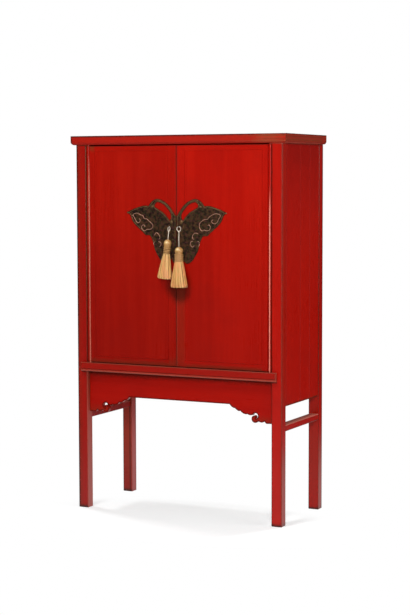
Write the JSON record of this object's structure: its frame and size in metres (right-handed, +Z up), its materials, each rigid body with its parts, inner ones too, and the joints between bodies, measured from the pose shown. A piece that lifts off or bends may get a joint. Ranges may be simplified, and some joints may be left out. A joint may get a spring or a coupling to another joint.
{
  "type": "chinese wedding cabinet",
  "caption": "Tall red-lacquered cabinet on square legs with pivoting door leaves, a butterfly lock plate with tassels, a waist moulding and a carved apron.",
  "frame": {"origin": "on the floor, at the centre of the bounding box of everything but the tassels and their cords", "axes": "+X to the viewer's right along the front, +Y from the front to the back, +Z up"},
  "size_m": [1.157, 0.543, 1.85],
  "materials": {
    "door_lacquer": "old red lacquer, rubbed brown in patches, satin",
    "case_lacquer": "old red lacquer on posts, sides, apron and top, edges rubbed dark",
    "moulding_lacquer": "red lacquer worn to dark brown, with pale rubbed edges",
    "inner_wood": "bare brown wood, plain sawn",
    "plate_bronze": "dark bronze with coppery rubbed rims and a faint green patina",
    "cord_cotton": "twisted off-white cord",
    "tassel_silk": "golden silk threads"
  },
  "bodies": {
    "cabinet": {"back_panel": "inner_wood", "case_floor": "inner_wood", "floor_back_bearer": "inner_wood", "front_apron": "case_lacquer", "front_sill": "case_lacquer", "left_floor_side_bearer": "inner_wood", "left_front_post": "case_lacquer", "left_rear_post": "case_lacquer", "left_shelf_side_bearer": "inner_wood", "left_side_panel": "case_lacquer", "left_side_stretcher": "case_lacquer", "left_top_side_rail": "case_lacquer", "right_floor_side_bearer": "inner_wood", "right_front_post": "case_lacquer", "right_rear_post": "case_lacquer", "right_shelf_side_bearer": "inner_wood", "right_side_panel": "case_lacquer", "right_side_stretcher": "case_lacquer", "right_top_side_rail": "case_lacquer", "shelf": "inner_wood", "shelf_back_bearer": "inner_wood", "top_battens": "inner_wood", "top_front_rail": "case_lacquer", "top_panel": "case_lacquer", "top_rear_rail": "case_lacquer", "waist_moulding": "moulding_lacquer"},
    "left_leaf": {"left_pivot_pole": "door_lacquer", "left_hinge_stile": "door_lacquer", "left_meeting_stile": "door_lacquer", "left_leaf_top_rail": "door_lacquer", "left_leaf_bottom_rail": "door_lacquer", "left_leaf_panel": "door_lacquer", "left_leaf_battens": "inner_wood", "left_butterfly_plate": "plate_bronze", "left_plate_nails": "plate_bronze", "left_eye_staple": "plate_bronze"},
    "left_tassel": {"left_tassel_loop": "cord_cotton", "left_tassel_cord": "cord_cotton", "left_tassel_head": "tassel_silk", "left_tassel_binding": "tassel_silk", "left_tassel_skirt": "tassel_silk"},
    "right_leaf": {"right_pivot_pole": "door_lacquer", "right_hinge_stile": "door_lacquer", "right_meeting_stile": "door_lacquer", "right_leaf_top_rail": "door_lacquer", "right_leaf_bottom_rail": "door_lacquer", "right_leaf_panel": "door_lacquer", "right_leaf_battens": "inner_wood", "right_butterfly_plate": "plate_bronze", "right_plate_nails": "plate_bronze", "right_eye_staple": "plate_bronze"},
    "right_tassel": {"right_tassel_loop": "cord_cotton", "right_tassel_cord": "cord_cotton", "right_tassel_head": "tassel_silk", "right_tassel_binding": "tassel_silk", "right_tassel_skirt": "tassel_silk"}
  },
  "joints": [
    {"name": "left_leaf_hinge", "type": "hinge", "parent": "cabinet", "child": "left_leaf", "pos_m": [-0.4905, -0.22487, 1.27], "axis": [0, 0, -1], "range_deg": [0, 95]},
    {"name": "right_leaf_hinge", "type": "hinge", "parent": "cabinet", "child": "right_leaf", "pos_m": [0.4905, -0.22487, 1.27], "axis": [0, 0, 1], "range_deg": [0, 95]},
    {"name": "left_tassel_swing", "type": "hinge", "parent": "left_leaf", "child": "left_tassel", "pos_m": [-0.026, -0.25738, 1.415], "axis": [-1, 0, 0], "range_deg": [0, 60]},
    {"name": "right_tassel_swing", "type": "hinge", "parent": "right_leaf", "child": "right_tassel", "pos_m": [0.026, -0.25738, 1.415], "axis": [-1, 0, 0], "range_deg": [0, 60]}
  ]
}
